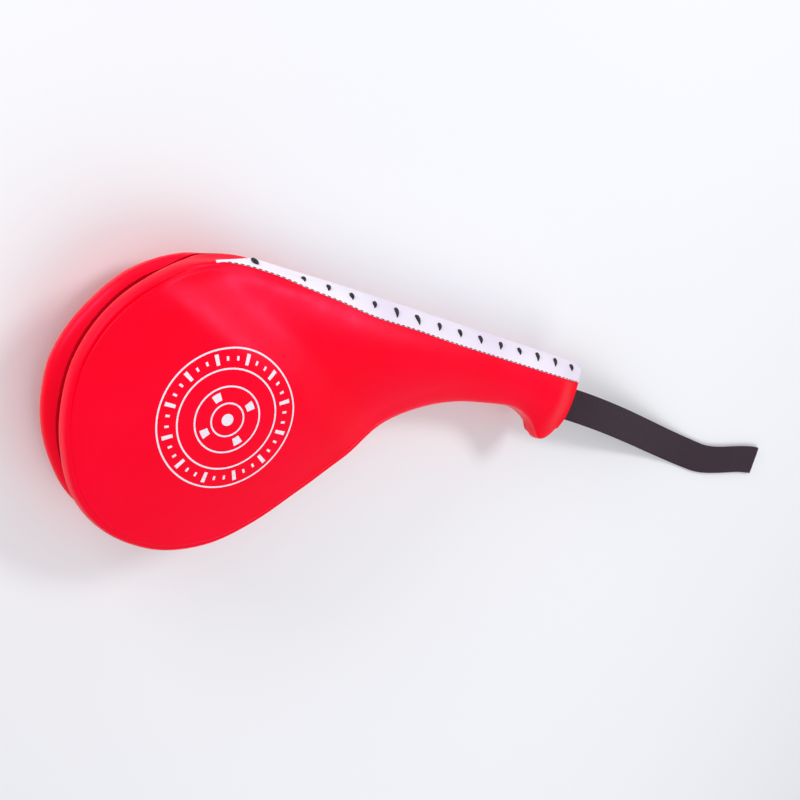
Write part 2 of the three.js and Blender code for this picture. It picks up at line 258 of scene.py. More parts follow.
def drawOutline():
    r, s = headRadius, spineY
    belly = s - pad["gripWidth"]
    flank = np.array([r - 9.5, -0.295 * r])
    flankAlong = np.array([0.62, 0.785])
    bellyStart = np.array([gripEnd - 59.5, belly])
    bottom = np.array([-14.0, -r])
    tip = np.array([gripEnd - 14, belly - pad["hookDrop"]])
    hookEnd = np.array([gripEnd - 1.5, belly - 0.4 * pad["hookDrop"]])
    k, f = pad["roundness"], pad["fullness"]
    spine = np.linspace((gripEnd, s), (0, s), 200, endpoint=False)
    upper = bezier((0, s), (-k * r, s), (-r, k * s), (-r, 0))
    lower = bezier((-r, 0), (-r, -f * r), (mix(bottom[0], -r, f), -r), bottom)
    under = bezier(bottom, bottom + (40, 0), flank - 40 * flankAlong, flank)
    throat = bezier(flank, flank + 55 * flankAlong, bellyStart - (78, 0), bellyStart)
    hook = bezier(bellyStart, bellyStart + (32, 0), tip - (7, 0), tip)
    end = bezier(tip, tip + (5, 0), hookEnd - (2, 6), hookEnd)
    line = np.vstack([spine, upper, lower, under, throat, hook, end, hookEnd[None]])
    along = np.concatenate([[0], np.cumsum(np.linalg.norm(np.diff(line, axis=0), axis=1))])
    count = int(along[-1] / pad["edgeStep"])
    even = np.linspace(0, along[-1], count)
    return np.column_stack([np.interp(even, along, line[:, i]) for i in (0, 1)]), even


outline, outlineAt = drawOutline()
outlineCount = len(outline)
endSteps = 26
endEdge = np.linspace(outline[-1], (gripEnd, spineY), endSteps + 2)[1:-1]
endEdge[:, 0] = gripEnd - 1.5 * (1 - ease(np.linspace(0, 1, endSteps), 0, 0.25))
tangent = np.gradient(outline, axis=0)
tangent /= np.linalg.norm(tangent, axis=1)[:, None]
outward = np.column_stack([tangent[:, 1], -tangent[:, 0]])
bellySide = outline[np.argmin(outline[:, 1]):]


def middleOf(xy):
    x = np.clip(xy[:, 0], 0, gripEnd - 24)
    low = np.interp(x, bellySide[:, 0], bellySide[:, 1])
    return np.column_stack([x, (low + spineY) / 2])


def ringPlan():
    # rows of points from the edge to the middle line, all round the plan
    edge = np.vstack([outline, endEdge])
    middle = middleOf(edge)
    reach = np.linalg.norm(middle - edge, axis=1)
    rim = np.arange(pad["rimRows"]) * pad["rimStep"]
    rows = [np.clip(d / reach, 0, 0.6) for d in rim]
    last = rows[-1]
    for i in range(1, pad["faceRows"] + 1):
        t = (i / pad["faceRows"]) ** 1.15
        rows.append(mix(last, 0.975, t))
    return np.array([edge + (middle - edge) * s[:, None] for s in rows])


plan = ringPlan()
rowCount, loopCount = plan.shape[:2]


def ringFaces(rows, count):
    faces = []
    for r in range(rows - 1):
        for i in range(count):
            j = (i + 1) % count
            a = r * count
            faces.append((a + i, a + j, a + count + j, a + count + i))
    return faces


def capFaces(points, first):
    # triangles that fill a flat loop, all turned the same way
    faces = []
    for t in tessellate_polygon([[Vector((*p, 0)) for p in points]]):
        a, b, c = (points[k] for k in t)
        turn = (b[0] - a[0]) * (c[1] - a[1]) - (b[1] - a[1]) * (c[0] - a[0])
        faces.append(tuple(first + k for k in (t if turn > 0 else t[::-1])))
    return faces


def solveCrown():
    # height of a membrane held at the outline and pressed up from below, harder on the handle
    xy = plan.reshape(-1, 2)
    quads = np.array(ringFaces(rowCount, loopCount))
    cap = np.array(capFaces(plan[-1], (rowCount - 1) * loopCount))
    tri = np.vstack([quads[:, [0, 1, 2]], quads[:, [0, 2, 3]], cap])
    p = xy[tri]
    weights, ends = [], []
    area = np.zeros(len(xy))
    e1, e2 = p[:, 1] - p[:, 0], p[:, 2] - p[:, 0]
    triArea = np.abs(e1[:, 0] * e2[:, 1] - e1[:, 1] * e2[:, 0]) / 2 + 1e-9
    for k in range(3):
        i, j, o = tri[:, (k + 1) % 3], tri[:, (k + 2) % 3], tri[:, k]
        a, b = xy[i] - xy[o], xy[j] - xy[o]
        weights.append((a * b).sum(1) / (4 * triArea))
        ends.append((i, j))
        area += np.bincount(o, triArea / 3, len(xy))
    w = np.concatenate(weights)
    i = np.concatenate([e[0] for e in ends])
    j = np.concatenate([e[1] for e in ends])
    free = np.ones(len(xy), bool)
    free[:outlineCount] = False

    def apply(u):
        flow = w * (u[i] - u[j])
        out = np.bincount(i, flow, len(xy)) - np.bincount(j, flow, len(xy))
        return np.where(free, out, 0)

    diagonal = np.bincount(i, w, len(xy)) + np.bincount(j, w, len(xy))
    diagonal = np.where(diagonal > 1e-9, diagonal, 1)

    def solve(source):
        u = np.zeros(len(xy))
        rest = np.where(free, source * area, 0)
        z = rest / diagonal
        d = z.copy()
        rz = rest @ z
        start = rz
        for _ in range(1600):
            ad = apply(d)
            step = rz / (d @ ad)
            u += step * d
            rest -= step * ad
            z = rest / diagonal
            new = rest @ z
            if new < start * 1e-14:
                break
            d = z + d * (new / rz)
            rz = new
        return u

    share = ease(into(xy), -75, 15)
    leaf, grip = solve(share), solve(1 - share)
    atHead = np.argmin(np.linalg.norm(xy - (0, 0), axis=1))
    atGrip = np.argmin(np.linalg.norm(xy - (gripEnd - 75, spineY - pad["gripWidth"] / 2), axis=1))
    target = np.array([pad["faceCrown"], pad["gripCrown"]]) - pad["edgeLip"]
    force = np.linalg.solve([[leaf[atHead], grip[atHead]], [leaf[atGrip], grip[atGrip]]], target)
    height = leaf * force[0] + grip * force[1]
    return (height + pad["edgeLip"] * (1 - np.exp(-height / 0.9))).reshape(rowCount, loopCount)


crown = solveCrown()
print("crown solved, head", round(float(crown.max()), 2))


def swellOf(table, hookTrim):
    # how far the stuffed skin stands out of the drawn outline, all round it
    x, y = outline[:, 0], outline[:, 1]
    angle = np.degrees(np.arctan2(y, x)) % 360
    degrees, amounts = np.array(table).T
    head = np.interp(angle, degrees, amounts)
    spineSide = (y > 60) | (x > 200) & (y > spineY - 20)
    spine = np.interp(x, *np.array(pad["spineSwell"]).T)
    belly = pad["bellySwell"] * (1 - ease(x, gripEnd - 85, gripEnd - 45))
    belly = belly - hookTrim * bump(x, gripEnd - 33, 13)
    side = np.where(spineSide, np.where(x > -37, spine, head), mix(head, belly, ease(x, 60, 110)))
    return smooth(side, 12)


def smooth(line, passes):
    for _ in range(passes):
        line = np.concatenate([line[:1], (line[:-2] + 2 * line[1:-1] + line[2:]) / 4, line[-1:]])
    return line


def bodyRows(swell):
    # rows of the front half as heights over the mid-plane: wall from the gap up, then face
    depth = into(outline)
    q = ease(depth, -12, 20)
    lift, top = leafLift(depth), wallTop(depth)
    rolled = pad["roll"] * ease(depth, 2, 26)
    rows = []
    for r in range(pad["wallRows"]):
        t = r / pad["wallRows"]
        grip = -1.5 * t * t
        leaf = math.sin(math.pi * min(t * 1.15, 1)) ** 0.7
        out = mix(grip, leaf, q) - rolled * max(0, 1 - t / 0.5) ** 2.2
        out = out + swell * mix(0.35, 1, ease(t, 0, 0.5)) + pad["bead"] * bump(t, 0.3, 0.06) * q
        z = mix(lift, top, t)
        rows.append(np.column_stack([outline + outward * out[:, None], z]))
    wall = np.array(rows)
    flattened = mix(pad["endCrown"], 1, ease(gripEnd - plan[..., 0], 0, 24))
    faceZ = wallTop(into(plan)) + crown * flattened
    face = np.concatenate([plan, faceZ[..., None]], axis=2)
    face[0, :outlineCount, :2] += outward * mix(-1.5, 0.0, q)[:, None]
    inside = np.linalg.norm(plan - plan[0], axis=2)[:, :outlineCount]
    face[:, :outlineCount, :2] += outward * (swell * (1 - ease(inside, 2, 16)))[..., None]
    joined = np.concatenate([wall, face[:, :outlineCount]])
    weight = np.ones(len(joined))
    weight[0] = 0
    weight[pad["wallRows"] + pad["rimRows"]:] = 0
    weight[pad["wallRows"] + pad["rimRows"] - 6:][:6] = np.linspace(1, 0, 6)
    for _ in range(pad["cornerPasses"]):
        soft = joined.copy()
        soft[1:-1] = (joined[:-2] + 2 * joined[1:-1] + joined[2:]) / 4
        joined += (soft - joined) * weight[:, None, None]
    # the sewn seam of the face: a groove between two low ridges, puckered by its stitches
    rimLine = outline + outward * swell[:, None]
    inset = ((rimLine[None] - joined[..., :2]) * outward[None]).sum(2)
    inset[:pad["wallRows"]] = -5
    angle = np.degrees(np.arctan2(outline[:, 1], outline[:, 0])) % 360
    strength = q * (0.35 + 0.65 * bump(angle, 160, 38)) * pad["seamDepth"]
    wave = 0.5 + 0.5 * np.sin(2 * math.pi * outlineAt / pad["puckerPitch"])
    at = pad["seamAt"]
    seam = 0.55 * bump(inset, at - 1.5, 0.8) + 0.6 * bump(inset, at + 1.6, 0.9)
    seam -= bump(inset, at, 0.6)
    pucker = bump(inset, at + 0.8, 1.5) * (wave - 0.5) * 0.5
    joined[..., 2] += (seam + pucker) * strength
    joined[..., :2] += outward * ((seam * 0.5) * strength)[..., None]
    return joined, face[:, outlineCount:]


def addMesh(name, points, faces, material, smoothAngle=50):
    mesh = bpy.data.meshes.new(name)
    mesh.from_pydata([tuple(p) for p in np.asarray(points, float) * mm], [], faces)
    mesh.validate()
    mesh.shade_smooth()
    mesh.set_sharp_from_angle(angle=math.radians(smoothAngle))
    mesh.materials.append(material)
    obj = bpy.data.objects.new(name, mesh)
    bpy.context.scene.collection.objects.link(obj)
    return obj


def weld(obj):
    # the front and rear parts become one skin where they meet
    work = bmesh.new()
    work.from_mesh(obj.data)
    bmesh.ops.remove_doubles(work, verts=work.verts, dist=0.02 * mm)
    work.to_mesh(obj.data)
    work.free()


def half(points, side):
    # the rear half is the front half seen in the mid-plane
    out = np.array(points, float).reshape(-1, 3).copy()
    out[:, 2] = midZ + side * out[:, 2]
    return out


def turned(faces, side):
    return faces if side > 0 else [tuple(reversed(f)) for f in faces]


def newMaterial(name, colour, roughness, **extra):
    material = bpy.data.materials.new(name)
    material.use_nodes = True
    tree = material.node_tree
    shader = tree.nodes["Principled BSDF"]
    shader.inputs["Base Color"].default_value = linear(colour)
    shader.inputs["Roughness"].default_value = roughness
    for key, value in extra.items():
        shader.inputs[key].default_value = value
    return material, tree, shader


# polyurethane-coated imitation leather, calendered smooth: an even strong red with soft wide
# highlights, and a grain so fine that it only breaks their edges
redSkin = {
    "colour": "#FF0020",
    "deep": "#FC001C",
    "pale": "#FF0028",
    "specular": 0.3,
    "specularTint": "#FF80D0",
    "roughness": 0.36,
    "grainMm": 0.9,            # real grain about 0.4 mm, drawn coarser so that it shows
    "grainHeight": 0.00003,
    "ior": 1.5,
}
whiteSkin = {
    "colour": "#F3EAF8",
    "deep": "#E9DFF0",
    "pale": "#F8F2FB",
    "specular": 0.4,
    "specularTint": "#FFFFFF",
    "roughness": 0.42,
    "grainMm": 0.9,
    "grainHeight": 0.00003,
    "ior": 1.5,
}


liningSkin = {**redSkin, "roughness": 0.5, "deep": "#C80016", "pale": "#DC0020"}


def leather(name, look):
    material, tree, shader = newMaterial(name, look["colour"], look["roughness"], IOR=look["ior"])
    shader.inputs["Specular IOR Level"].default_value = look["specular"]
    shader.inputs["Specular Tint"].default_value = linear(look["specularTint"])
    place = addNode(tree, "ShaderNodeTexCoord").outputs["Object"]
    cloud = addNode(tree, "ShaderNodeTexNoise", {"Vector": place, "Scale": 14.0, "Detail": 2.0})
    ramp = addNode(tree, "ShaderNodeValToRGB", {"Fac": cloud.outputs["Fac"]},
                   out=shader.inputs["Base Color"])
    ramp.color_ramp.elements[0].color = linear(look["deep"])
    ramp.color_ramp.elements[0].position = 0.3
    ramp.color_ramp.elements[1].color = linear(look["pale"])
    ramp.color_ramp.elements[1].position = 0.72
    cells = addNode(tree, "ShaderNodeTexVoronoi",
                    {"Vector": place, "Scale": 1 / (look["grainMm"] * mm)}, feature="SMOOTH_F1")
    fine = addNode(tree, "ShaderNodeTexNoise",
                   {"Vector": place, "Scale": 0.4 / (look["grainMm"] * mm), "Detail": 3.0})
    both = addNode(tree, "ShaderNodeMath", {0: cells.outputs["Distance"], 1: fine.outputs["Fac"]},
                   operation="ADD")
    addNode(tree, "ShaderNodeBump",
            {"Height": both.outputs[0], "Strength": 0.35, "Distance": look["grainHeight"]},
            out=shader.inputs["Normal"])
    scuff = addNode(tree, "ShaderNodeTexNoise", {"Vector": place, "Scale": 55.0, "Detail": 4.0})
    addNode(tree, "ShaderNodeMapRange",
            {"Value": scuff.outputs["Fac"], "From Min": 0.3, "From Max": 0.7,
             "To Min": look["roughness"] - 0.05, "To Max": look["roughness"] + 0.07},
            out=shader.inputs["Roughness"])
    return material


# filament polyester webbing in a diagonal twill: dark, matt, with a painted plum sheen on the ribs
webbingLook = {
    "colour": "#0C070B",
    # rib: colour of the painted sheen laid along the ribs; the webbing's own colour is the dark one
    "rib": "#4B3844",
    "roughness": 0.82,
    "ribMm": 2.2,              # real ribs are 1.1 mm, drawn coarser so that they show
}


def twillWebbing():
    look = webbingLook
    material, tree, shader = newMaterial("polyesterTwill", look["colour"], look["roughness"],
                                         IOR=1.45)
    shader.inputs["Specular IOR Level"].default_value = 0.25
    shader.inputs["Sheen Weight"].default_value = 0.06
    shader.inputs["Sheen Roughness"].default_value = 0.5
    uv = addNode(tree, "ShaderNodeUVMap", uv_map="weave")
    split = addNode(tree, "ShaderNodeSeparateXYZ", {0: uv.outputs[0]})
    diagonal = addNode(tree, "ShaderNodeMath", {0: split.outputs["X"], 1: split.outputs["Y"]},
                       operation="ADD")
    phase = addNode(tree, "ShaderNodeMath",
                    {0: diagonal.outputs[0], 1: 2 * math.pi / look["ribMm"]}, operation="MULTIPLY")
    rib = addNode(tree, "ShaderNodeMath", {0: phase.outputs[0]}, operation="SINE")
    across = addNode(tree, "ShaderNodeMath",
                     {0: split.outputs["Y"], 1: 4 * math.pi / look["ribMm"]}, operation="MULTIPLY")
    thread = addNode(tree, "ShaderNodeMath", {0: across.outputs[0]}, operation="SINE")
    woven = addNode(tree, "ShaderNodeMath", {0: rib.outputs[0], 1: thread.outputs[0], 2: 0.7},
                    operation="MULTIPLY_ADD")
    # painted sheen: the ribs of the weave get the lighter plum colour, the rest keeps the dark base
    # colour
    paintedRibSheen = addNode(tree, "ShaderNodeMapRange",
                   {"Value": woven.outputs[0], "From Min": -1.2, "From Max": 1.5})
    ramp = addNode(tree, "ShaderNodeValToRGB", {"Fac": paintedRibSheen.outputs[0]},
                   out=shader.inputs["Base Color"])
    ramp.color_ramp.elements[0].color = linear(look["colour"])
    ramp.color_ramp.elements[1].color = linear(look["rib"])
    addNode(tree, "ShaderNodeBump",
            {"Height": woven.outputs[0], "Strength": 0.9, "Distance": 0.0004},
            out=shader.inputs["Normal"])
    return material


# thick waxed nylon thread: near black, slightly glossy, with a twist
def waxedThread():
    material, tree, shader = newMaterial("waxedNylonThread", "#1A1420", 0.5, IOR=1.5)
    place = addNode(tree, "ShaderNodeTexCoord").outputs["Object"]
    wave = addNode(tree, "ShaderNodeTexWave", {"Vector": place, "Scale": 420.0, "Distortion": 1.0},
                   bands_direction="DIAGONAL")
    addNode(tree, "ShaderNodeBump",
            {"Height": wave.outputs["Fac"], "Strength": 0.6, "Distance": 0.0002},
            out=shader.inputs["Normal"])
    return material


# screen-printed ink: flat, a little uneven where the squeegee left it thinner
def printInk():
    material, tree, shader = newMaterial("screenPrintInk", "#F0E6F7", 0.5, IOR=1.48)
    place = addNode(tree, "ShaderNodeTexCoord").outputs["Object"]
    noise = addNode(tree, "ShaderNodeTexNoise", {"Vector": place, "Scale": 900.0, "Detail": 3.0})
    ramp = addNode(tree, "ShaderNodeValToRGB", {"Fac": noise.outputs["Fac"]},
                   out=shader.inputs["Base Color"])
    ramp.color_ramp.elements[0].color = linear("#E6C9DC")
    ramp.color_ramp.elements[0].position = 0.25
    ramp.color_ramp.elements[1].color = linear("#F5EEFA")
    ramp.color_ramp.elements[1].position = 0.5
    return material


# extruded polypropylene sheet, a stiffener that is never seen
def stiffenerSheet():
    material, tree, shader = newMaterial("polypropyleneSheet", "#DADAD4", 0.45, IOR=1.49)
    place = addNode(tree, "ShaderNodeTexCoord").outputs["Object"]
    noise = addNode(tree, "ShaderNodeTexNoise", {"Vector": place, "Scale": 300.0})
    addNode(tree, "ShaderNodeBump",
            {"Height": noise.outputs["Fac"], "Strength": 0.2, "Distance": 0.0001},
            out=shader.inputs["Normal"])
    return material


redLeather = leather("polyurethaneLeatherRed", redSkin)
whiteLeather = leather("polyurethaneLeatherWhite", whiteSkin)
liningCloth = leather("coatedLiningRed", liningSkin)
webbing = twillWebbing()
thread = waxedThread()
ink = printInk()
sheetPlastic = stiffenerSheet()
print("materials made")


def blendLeaf(obj):
    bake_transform(obj)


strapSlot = {"low": 57.0, "high": 83.0, "half": 2.0}    # Y, Y, height over the mid-plane


def endCap(joined, faceEnd):
    # flat end of the handle half, with a notch where the webbing comes out
    lower = joined[:pad["wallRows"] + 1, -1]
    upper = joined[:pad["wallRows"] + 1, 0][::-1]
    notch = [(gripEnd, spineY - 12, 0.3)]
    for y, z in ((strapSlot["high"], 0.3), (strapSlot["high"], strapSlot["half"]),
                 (strapSlot["low"], strapSlot["half"]), (strapSlot["low"], 0.3)):
        notch.append((gripEnd - 0.3, y, z))
    return np.vstack([lower, faceEnd, upper, np.array(notch)])


def makeHalf(name, side, swell):
    joined, faceEnd = bodyRows(swell)
    wallRows = pad["wallRows"]
    face = np.concatenate([joined[wallRows:], faceEnd], axis=1)
    wall = joined[:wallRows + 1]
    points = [wall.reshape(-1, 3), face[1:].reshape(-1, 3)]
    faces = []
    count = outlineCount
    for r in range(wallRows):
        for i in range(count - 1):
            a, b = r * count + i, (r + 1) * count + i
            faces.append((a, a + 1, b + 1, b))
    wallSize = (wallRows + 1) * count
    endFirst = wallSize + (rowCount - 1) * loopCount
    points.append(faceEnd[0])

    def faceIndex(r, i):
        if r > 0:
            return wallSize + (r - 1) * loopCount + i
        return wallRows * count + i if i < count else endFirst + i - count

    for r in range(rowCount - 1):
        for i in range(loopCount):
            j = (i + 1) % loopCount
            corners = ((r, i), (r, j), (r + 1, j), (r + 1, i))
            faces.append(tuple(faceIndex(*corner) for corner in corners))
    faces += capFaces(face[-1][:, :2], faceIndex(rowCount - 1, 0))
    cap = endCap(joined, faceEnd[0])
    points.append(cap)
    faces += capFaces(cap[:, 1:], endFirst + len(faceEnd[0]))
    obj = addMesh(f"{name}_pad", half(np.vstack(points), side), turned(faces, side), redLeather)
    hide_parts(f"{name}_face_panel", f"{name}_side_wall", f"{name}_grip_cover",
                f"{name}_foam_pad")
    return obj, joined


frontSwell = swellOf(pad["frontSwell"], 0)
rearSwell = swellOf(pad["rearSwell"], pad["rearHookTrim"])
frontPad, frontColumns = makeHalf("front", 1, frontSwell)
rearPad, rearColumns = makeHalf("rear", -1, rearSwell)
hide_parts("grip_core", "grip_end_patch")


def makeLining(name, side, columns):
    # coated cloth that closes the gap side of a leaf
    edge = np.vstack([columns[0, :, :2] - outward * 0.1, endEdge - (1.5, 0)])
    middle = middleOf(edge)
    shares = np.concatenate([[0, 0.006, 0.02], np.linspace(0.05, 0.975, 14)])
    rows = []
    for s in shares:
        xy = edge + (middle - edge) * s
        sag = 0.25 * ease(into(xy), 0, 20) if s > 0 else 0
        rows.append(np.column_stack([xy, leafLift(into(xy)) - sag]))
    points = np.array(rows)
    faces = ringFaces(len(rows), len(edge))
    faces += capFaces(points[-1][:, :2], (len(rows) - 1) * len(edge))
    obj = addMesh(f"{name}_lining", half(points, side), turned(faces, -side), liningCloth)
    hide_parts(f"{name}_inner_liner")
    return obj


frontLining = makeLining("front", 1, frontColumns)
rearLining = makeLining("rear", -1, rearColumns)
print("pads and linings made")


band = {
    "start": -33.0,           # its tip on the shoulder of the leaf
    "wrapStart": 6.0,         # where it closes over the mid-plane
    "shoulder": 12.5,
    "shoulderX": 100.0,       # full width from here to the handle's end
    # narrower where the head begins and by the step in its seam: X, length, how much
    "waists": ((58, 34, 2.6), (16, 26, 2.86), (130, 26, 0.9)),
    "stand": 0.4,             # how far it stands over the red skin
    "thick": 0.7,
    "rows": 26,
}


def surfaceTree(obj):
    return BVHTree.FromPolygons([v.co[:] for v in obj.data.vertices],
                                [p.vertices[:] for p in obj.data.polygons])


padTree = surfaceTree(frontPad)


def bandDown(x):
    # how far the band's seam lies below the spine
    full = band["shoulder"] * ease(x, band["start"] - 30, band["shoulderX"]) + 0.3
    return full - sum(amount * bump(x, at, length) for at, length, amount in band["waists"])


def bandSection(i, columns, swell):
    # line over the spine at one outline point, from the front seam down to the mid-plane
    inward = -outward[i] if outline[i, 0] < 0 else np.array([0, -1.0])
    rim = outline[i] - inward * swell[i]
    line = []
    for d in np.linspace(bandDown(outline[i, 0]), 1.6, 14):
        x, y = rim + inward * d
        at = padTree.ray_cast(Vector((min(x, gripEnd - 0.1), y, 200)) * mm, Vector((0, 0, -1)))[0]
        if at is not None:
            line.append((x, y, at.z / mm - midZ))
    column = columns[:, i]
    down = (rim - column[:, :2]) @ -inward
    last = line[-1][2] if line else 1e3
    below = column[(down < 1.5) & (column[:, 2] < last - 0.3)]
    line = np.array(line + [tuple(p) for p in below[np.argsort(-below[:, 2])]])
    stop = wallTop(into(outline[i])) * (1 - ease(outline[i, 0], band["start"], band["wrapStart"]))
    stop = max(float(stop) * 0.98, 0.0)
    kept = line[line[:, 2] > stop]
    tail = kept[-1].copy()
    tail[2] = min(stop, tail[2])
    kept = np.vstack([kept, tail])
    step = np.diff(kept, axis=0)
    run = -(step[:, :2] @ inward)
    length = np.sqrt(run ** 2 + step[:, 2] ** 2) + 1e-9
    facing = np.column_stack([inward[0] * step[:, 2], inward[1] * step[:, 2], run])
    facing /= length[:, None]
    normal = np.zeros_like(kept)
    normal[:-1] += facing
    normal[1:] += facing
    normal /= np.linalg.norm(normal, axis=1)[:, None] + 1e-9
    raised = kept + normal * band["stand"]
    along = np.concatenate([[0], np.cumsum(np.linalg.norm(np.diff(raised, axis=0), axis=1))])
    even = np.linspace(0, along[-1], band["rows"])
    return np.column_stack([np.interp(even, along, raised[:, k]) for k in range(3)])


onSpine = (outline[:, 1] > 60) & (outline[:, 0] > band["start"] - 1)


def makeBand():
    places = np.flatnonzero(onSpine)
    sections = np.array([bandSection(i, frontColumns, frontSwell) for i in places])
    count = band["rows"]
    points = [half(sections, 1), half(sections, -1)]
    faces = []
    size = len(sections) * count
    for i in range(len(sections) - 1):
        for r in range(count - 1):
            a, b = i * count + r, (i + 1) * count + r
            faces.append((a, a + 1, b + 1, b))
            faces.append((size + a, size + b, size + b + 1, size + a + 1))
    obj = addMesh("spine_band_skin", np.vstack(points), faces, whiteLeather)
    weld(obj)
    thick = obj.modifiers.new("thickness", "SOLIDIFY")
    thick.thickness = band["thick"] * mm
    thick.offset = 0.6
    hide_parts("spine_band")
    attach(obj, "handle")
    return obj, sections


bandSkin, bandSections = makeBand()
print("band made")


strap = {
    "width": 25.2,
    "thick": 1.35,
    "between": 0.7,           # between the loop's two layers
    "reach": 289.5,           # handle end to the fold
    "mouthY": 69.0,
    "standOff": 2.0,
    "rest": 0.15,             # over the floor, where it lies
    "bendBefore": 1.0,        # it bends at the handle's end, from here
    "bendAfter": 9.0,         # to here
    "bendY": 70.0,
    "slip": 0.9,              # the lower layer lies this much to one side of the upper
    "steps": 150,
}


def strapMiddle(share):
    rest = strap["rest"] + strap["thick"] + strap["between"] / 2 - midZ
    x = gripEnd + strap["standOff"] + share * (strap["reach"] - strap["standOff"])
    drop = ease(share, 0.03, 0.7)
    sideways = -18 * ease(share, 0, 0.9) + 14 * ease(share, 0.72, 1)
    return np.array([x, strap["mouthY"] + float(sideways), midZ + float(mix(0, rest, drop))])


def makeStrap():
    steps = strap["steps"]
    offset = (strap["thick"] + strap["between"]) / 2
    shares = np.linspace(-0.05, 0.985, steps)
    lines = []
    for sign in (1, -1):
        run = []
        for s in shares:
            if s < 0:
                at = strapMiddle(0) + np.array([s * strap["reach"], 0, 0])
                ahead = np.array([1.0, 0, 0])
            else:
                at = strapMiddle(s)
                ahead = strapMiddle(min(s + 0.004, 1)) - strapMiddle(max(s - 0.004, 0))
                ahead /= np.linalg.norm(ahead)
            side = np.array([-ahead[1], ahead[0], 0])
            side /= np.linalg.norm(side)
            up = np.cross(ahead, side)
            swell = 1 + 0.25 * math.sin(s * 9) if s > 0 else 1
            shift = up * offset * swell + side * strap["slip"] * 0.5
            run.append((at + shift * sign, side, up))
        lines.append(run)
    at, side, up = lines[0][-1]
    below = lines[1][-1][0]
    ahead = np.cross(side, up)
    fold = []
    centre = (at + below) / 2
    radius = np.linalg.norm(at - below) / 2
    for a in np.linspace(0, math.pi, 9)[1:-1]:
        out = up * math.cos(a) + ahead * math.sin(a)
        fold.append((centre + out * radius, side, out))
    path = lines[0] + fold + [(p, across, -out) for p, across, out in lines[1][::-1]]
    w, t = strap["width"] / 2, strap["thick"] / 2
    section = []
    for k in range(13):
        y = mix(-w, w, k / 12)
        section.append((y, t * (1 if 0 < k < 12 else 0.45) + 0.06 * math.cos(k * 2.1)))
    section += [(y, -z) for y, z in reversed(section)]
    count = len(section)
    points, uvs, faces = [], [], []
    along = 0.0
    previous = path[0][0]
    for p, across, out in path:
        along += float(np.linalg.norm(p - previous))
        previous = p
        for y, z in section:
            points.append(p + across * y + out * z)
            uvs.append((along, y))
    for i in range(len(path) - 1):
        for k in range(count):
            j = (k + 1) % count
            a, b = i * count, (i + 1) * count
            faces.append((a + k, b + k, b + j, a + j))
    faces.append(tuple(range(count)))
    faces.append(tuple(reversed(range((len(path) - 1) * count, len(path) * count))))
    obj = addMesh("wrist_loop_webbing", points, faces, webbing, 40)
    layer = obj.data.uv_layers.new(name="weave")
    for loop in obj.data.loops:
        layer.data[loop.index].uv = uvs[loop.vertex_index]
    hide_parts("wrist_strap", "strap_anchor")
    y, z = strap["bendY"] * mm, midZ * mm
    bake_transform(obj)


makeStrap()
print("webbing made")


lace = {
    "thick": 1.6,
    "tail": 0.5,
    "slant": 76.0,            # degrees from the handle's line towards its belly
    "start": 35.2,
    "pitch": 19.52,
    "drift": (9.7, 3.0, 2.9),     # the sewer's pitch wandered: stitch number, spread, how far
    "climb": (16.9, 16, 54),      # height over the mid-plane: the most, start, length
    "sink": (3.4, 105, 300),      # the lace then comes down again: how far, from X, to X
    "inside": 50.0,           # the Y of a line within the pad, to tell the band's outer side
    "knotX": -0.6,
    "knotLength": 7.0,
    "knotRing": 1.9,          # radius of the loop of thread that makes the knot
    "knotThick": 0.85,
    # hand-sewn, so no stitch is quite as long as the next
    "lengths": (4.6, 4.4, 4.8, 5.0, 8.4, 8.6, 6.4, 6.2, 6.6, 6.2, 5.6, 7.6, 7.4, 5.8),
}


bandTree = surfaceTree(bandSkin)


def laceLine(x):
    # the lace climbs from the knot by the mid-plane to the front shoulder, then sinks a little
    most, start, length = lace["climb"]
    down, fromX, toX = lace["sink"]
    rise = most * (1 - math.exp(-(x + start) / length)) - down * float(ease(x, fromX, toX))
    # the band curves away from the spine as it goes up
    below = 1.6 + 0.0008 * rise ** 3
    return np.array([x, spineY - below, midZ + rise])


def onBand(point):
    at, normal, _, _ = bandTree.find_nearest(Vector(point) * mm)
    if normal.dot(at - Vector((at.x, lace["inside"] * mm, midZ * mm))) < 0:
        normal = -normal
    return np.array(at) / mm, np.array(normal)


def tube(path, radii, sides=8):
    path = np.asarray(path, float)
    ahead = np.gradient(path, axis=0)
    ahead /= np.linalg.norm(ahead, axis=1)[:, None] + 1e-9
    points, faces = [], []
    reference = np.array([0.3, 0.2, 1.0])
    for p, a, r in zip(path, ahead, radii):
        u = np.cross(a, reference)
        u /= np.linalg.norm(u)
        v = np.cross(a, u)
        for k in range(sides):
            angle = 2 * math.pi * k / sides
            points.append(p + r * (u * math.cos(angle) + v * math.sin(angle)))
    for i in range(len(path) - 1):
        for k in range(sides):
            j = (k + 1) % sides
            faces.append((i * sides + k, i * sides + j, (i + 1) * sides + j, (i + 1) * sides + k))
    faces.append(tuple(reversed(range(sides))))
    faces.append(tuple(range((len(path) - 1) * sides, len(path) * sides)))
    return points, faces


